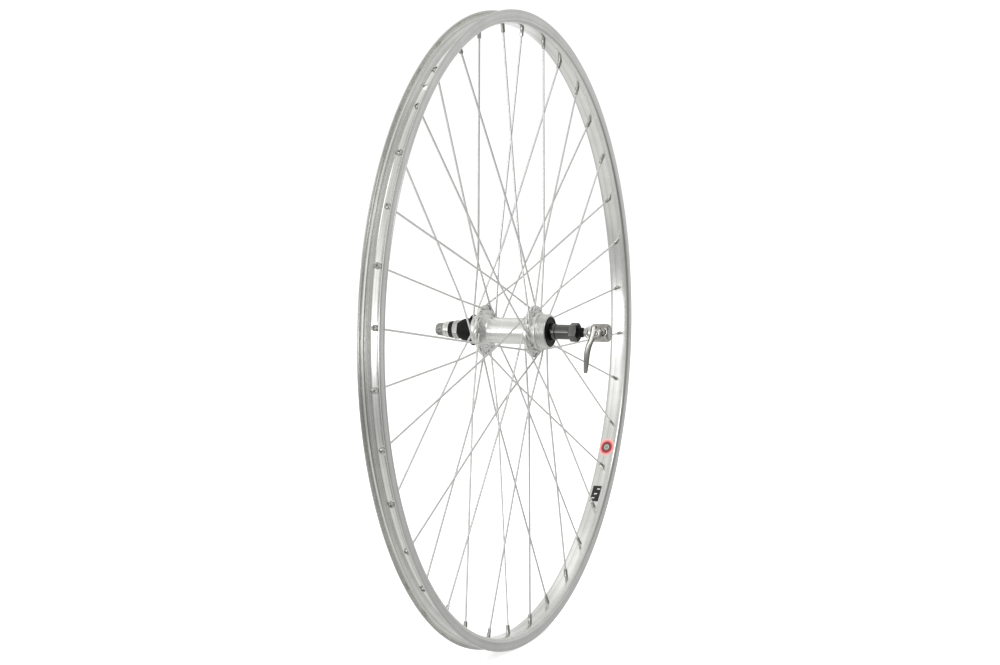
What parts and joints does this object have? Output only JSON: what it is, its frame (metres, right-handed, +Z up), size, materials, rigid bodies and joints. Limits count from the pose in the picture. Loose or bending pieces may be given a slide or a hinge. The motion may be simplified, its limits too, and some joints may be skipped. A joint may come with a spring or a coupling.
{
  "type": "bicycle rear wheel with quick release",
  "caption": "Spoked bicycle rear wheel: single-wall alloy rim, flanged hub threaded for a freewheel, hollow axle and a quick-release skewer with a folding cam lever.",
  "frame": {"origin": "wheel centre: on the axle, in the middle plane of the rim", "axes": "+Y along the axle to the non-drive side, +X forward, +Z up; the freewheel thread and the quick-release lever are at -Y"},
  "size_m": [0.634, 0.1873, 0.634],
  "materials": {
    "rim_alloy": "turned and polished alloy",
    "hub_alloy": "polished alloy",
    "spoke_steel": "drawn stainless wire, with nickel-plated nipples",
    "bearing_steel": "ground bearing steel",
    "bright_steel": "bright plated steel",
    "dark_steel": "dark oxide steel, satin",
    "black_steel": "black steel",
    "lever_steel": "grey plated steel, satin",
    "nut_chrome": "chrome plated, satin on the outer cone",
    "spring_chrome": "plated spring wire",
    "black_plastic": "black moulded seal, satin",
    "boot_rubber": "black rubber, satin"
  },
  "bodies": {
    "axle_assembly": {"hollow_axle": "dark_steel", "drive_side_cone": "bearing_steel", "drive_side_spacer": "dark_steel", "drive_side_locknut": "dark_steel", "non_drive_side_cone": "bearing_steel", "non_drive_side_spacer": "bright_steel", "non_drive_side_boot": "boot_rubber", "non_drive_side_locknut": "bright_steel"},
    "wheel": {"rim": "rim_alloy", "hub_shell": "hub_alloy", "drive_side_bearing_cup": "bearing_steel", "non_drive_side_bearing_cup": "bearing_steel", "drive_side_dust_cap": "black_plastic", "non_drive_side_dust_cap": "black_plastic", "spoke_drive_inner_1": "spoke_steel", "spoke_drive_inner_2": "spoke_steel", "spoke_drive_inner_3": "spoke_steel", "spoke_drive_inner_4": "spoke_steel", "spoke_drive_inner_5": "spoke_steel", "spoke_drive_inner_6": "spoke_steel", "spoke_drive_inner_7": "spoke_steel", "spoke_drive_inner_8": "spoke_steel", "spoke_drive_inner_9": "spoke_steel", "spoke_drive_outer_1": "spoke_steel", "spoke_drive_outer_2": "spoke_steel", "spoke_drive_outer_3": "spoke_steel", "spoke_drive_outer_4": "spoke_steel", "spoke_drive_outer_5": "spoke_steel", "spoke_drive_outer_6": "spoke_steel", "spoke_drive_outer_7": "spoke_steel", "spoke_drive_outer_8": "spoke_steel", "spoke_drive_outer_9": "spoke_steel", "spoke_non_drive_inner_1": "spoke_steel", "spoke_non_drive_inner_2": "spoke_steel", "spoke_non_drive_inner_3": "spoke_steel", "spoke_non_drive_inner_4": "spoke_steel", "spoke_non_drive_inner_5": "spoke_steel", "spoke_non_drive_inner_6": "spoke_steel", "spoke_non_drive_inner_7": "spoke_steel", "spoke_non_drive_inner_8": "spoke_steel", "spoke_non_drive_inner_9": "spoke_steel", "spoke_non_drive_outer_1": "spoke_steel", "spoke_non_drive_outer_2": "spoke_steel", "spoke_non_drive_outer_3": "spoke_steel", "spoke_non_drive_outer_4": "spoke_steel", "spoke_non_drive_outer_5": "spoke_steel", "spoke_non_drive_outer_6": "spoke_steel", "spoke_non_drive_outer_7": "spoke_steel", "spoke_non_drive_outer_8": "spoke_steel", "spoke_non_drive_outer_9": "spoke_steel"},
    "drive_side_balls": {"drive_side_caged_balls": "bearing_steel"},
    "non_drive_side_balls": {"non_drive_side_caged_balls": "bearing_steel"},
    "cam_head": {"cam_housing": "lever_steel", "clamp_washer": "lever_steel", "drive_side_spring": "spring_chrome"},
    "lever": {"quick_release_lever": "lever_steel"},
    "skewer": {"quick_release_rod": "bright_steel"},
    "nut_ring": {"nut_clamp_ring": "black_steel", "non_drive_side_spring": "spring_chrome"},
    "nut": {"adjusting_nut": "nut_chrome"}
  },
  "joints": [
    {"name": "wheel_spin", "type": "hinge", "parent": "axle_assembly", "child": "wheel", "pos_m": [0, 0, 0], "axis": [0, 1, 0], "continuous": true},
    {"name": "drive_side_balls_roll", "type": "hinge", "parent": "axle_assembly", "child": "drive_side_balls", "pos_m": [0, -0.0318, 0], "axis": [0, 1, 0], "continuous": true},
    {"name": "non_drive_side_balls_roll", "type": "hinge", "parent": "axle_assembly", "child": "non_drive_side_balls", "pos_m": [0, 0.0406, 0], "axis": [0, 1, 0], "continuous": true},
    {"name": "skewer_turn", "type": "hinge", "parent": "axle_assembly", "child": "cam_head", "pos_m": [0, -0.0825, 0], "axis": [0, 1, 0], "continuous": true},
    {"name": "lever_throw", "type": "hinge", "parent": "cam_head", "child": "lever", "pos_m": [0, -0.09, 0], "axis": [-1, 0, 0], "range_deg": [0, 180]},
    {"name": "skewer_pull", "type": "slide", "parent": "cam_head", "child": "skewer", "axis": [0, 1, 0], "range_m": [0, 0.0016]},
    {"name": "nut_travel", "type": "slide", "parent": "skewer", "child": "nut_ring", "axis": [0, 1, 0], "range_m": [0, 0.004]},
    {"name": "nut_turn", "type": "hinge", "parent": "nut_ring", "child": "nut", "pos_m": [0, 0.08, 0], "axis": [0, 1, 0], "range_deg": [0, 1800]}
  ],
  "couplings": [
    {"joint": "drive_side_balls_roll", "follows": "wheel_spin", "ratio": 0.62},
    {"joint": "non_drive_side_balls_roll", "follows": "wheel_spin", "ratio": 0.62},
    {"joint": "skewer_pull", "follows": "lever_throw", "m_per_rad": 0.000509},
    {"joint": "nut_travel", "follows": "nut_turn", "m_per_rad": 0.0001273}
  ]
}
